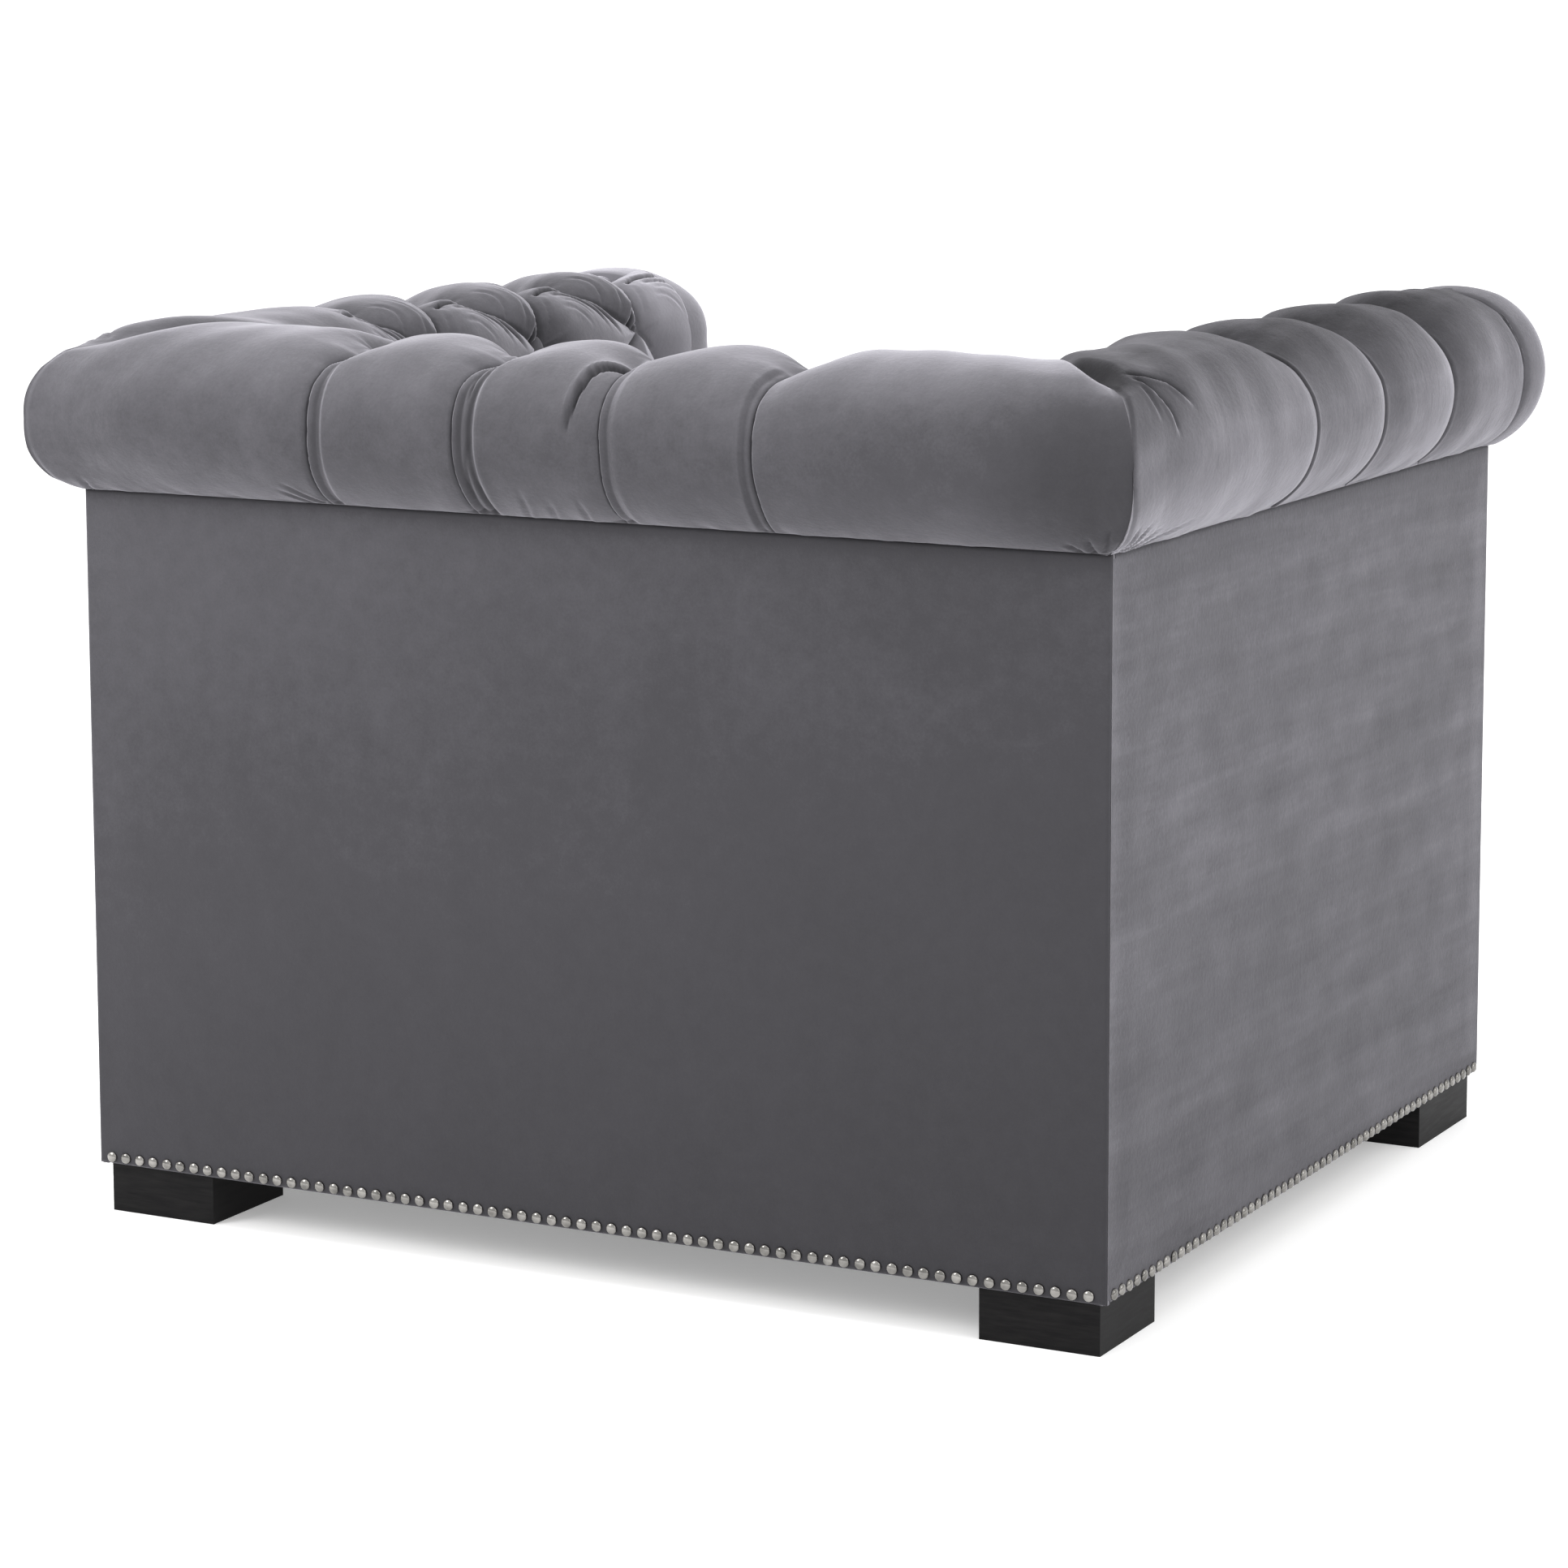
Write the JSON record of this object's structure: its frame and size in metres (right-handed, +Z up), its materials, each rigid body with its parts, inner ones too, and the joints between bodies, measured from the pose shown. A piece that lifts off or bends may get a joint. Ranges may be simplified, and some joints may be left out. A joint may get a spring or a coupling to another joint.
{
  "type": "tufted club armchair",
  "caption": "Rolled-arm tufted velvet armchair with flat outside panels, nailhead trim along the bottom, black block feet and a loose seat cushion.",
  "frame": {"origin": "on the floor, under the middle of the overall width and depth", "axes": "+Z up, -Y the way the sitter faces, +X the sitter's left; symmetric about the YZ plane"},
  "size_m": [1.0254, 0.9306, 0.7647],
  "materials": {
    "velvet": "grey velvet, short directional pile",
    "nickel": "polished nickel",
    "black_wood": "black satin lacquer",
    "steel": "zinc-plated wire and bolts",
    "glide": "moulded glide",
    "foam": "cut polyurethane foam and wadding",
    "jute": "woven jute",
    "black_cloth": "thin non-woven cloth and zip tape",
    "board": "upholsterers' board",
    "frame_wood": "planed softwood and plywood"
  },
  "bodies": {
    "chair_frame": {"rail_front": "frame_wood", "rail_back": "frame_wood", "rail_left": "frame_wood", "rail_right": "frame_wood", "corner_blocks": "frame_wood", "back_post_left": "frame_wood", "back_post_right": "frame_wood", "front_post_left": "frame_wood", "front_post_right": "frame_wood", "back_top_rail": "frame_wood", "arm_top_rail_left": "frame_wood", "arm_top_rail_right": "frame_wood", "back_tack_rail": "frame_wood", "arm_tack_rail_left": "frame_wood", "arm_tack_rail_right": "frame_wood", "seat_rail_front": "frame_wood", "seat_rail_back": "frame_wood", "seat_rail_left": "frame_wood", "seat_rail_right": "frame_wood", "seat_springs": "steel", "spring_clips": "steel", "webbing": "jute", "spring_burlap": "jute", "deck_padding": "foam", "deck_cover": "velvet", "dust_cover": "black_cloth", "back_roll_core": "foam", "arm_roll_core_left": "foam", "arm_roll_core_right": "foam", "back_pad": "velvet", "arm_pad_left": "velvet", "arm_pad_right": "velvet", "roll_end_left": "velvet", "roll_end_right": "velvet", "back_buttons": "velvet", "arm_buttons_left": "velvet", "arm_buttons_right": "velvet", "outside_back_board": "board", "outside_arm_board_left": "board", "outside_arm_board_right": "board", "front_boards": "board", "outside_back_panel": "velvet", "outside_arm_panel_left": "velvet", "outside_arm_panel_right": "velvet", "arm_front_left": "velvet", "arm_front_right": "velvet", "front_border": "velvet", "nails_back": "nickel", "nails_left": "nickel", "nails_right": "nickel", "nails_front": "nickel", "feet_rear": "black_wood", "feet_front": "black_wood", "foot_bolts": "steel", "tee_nuts": "steel", "foot_glides": "glide"},
    "seat_cushion": {"cushion_cover": "velvet", "cushion_core": "foam", "zip_tape": "black_cloth"},
    "zip_slider": {"zip_slider": "nickel"}
  },
  "joints": [
    {"name": "cushion_lift", "type": "slide", "parent": "chair_frame", "child": "seat_cushion", "axis": [0, 0, 1], "range_m": [0, 0.5]},
    {"name": "zip_slide", "type": "slide", "parent": "seat_cushion", "child": "zip_slider", "axis": [1, 0, 0], "range_m": [0, 0.46]}
  ]
}
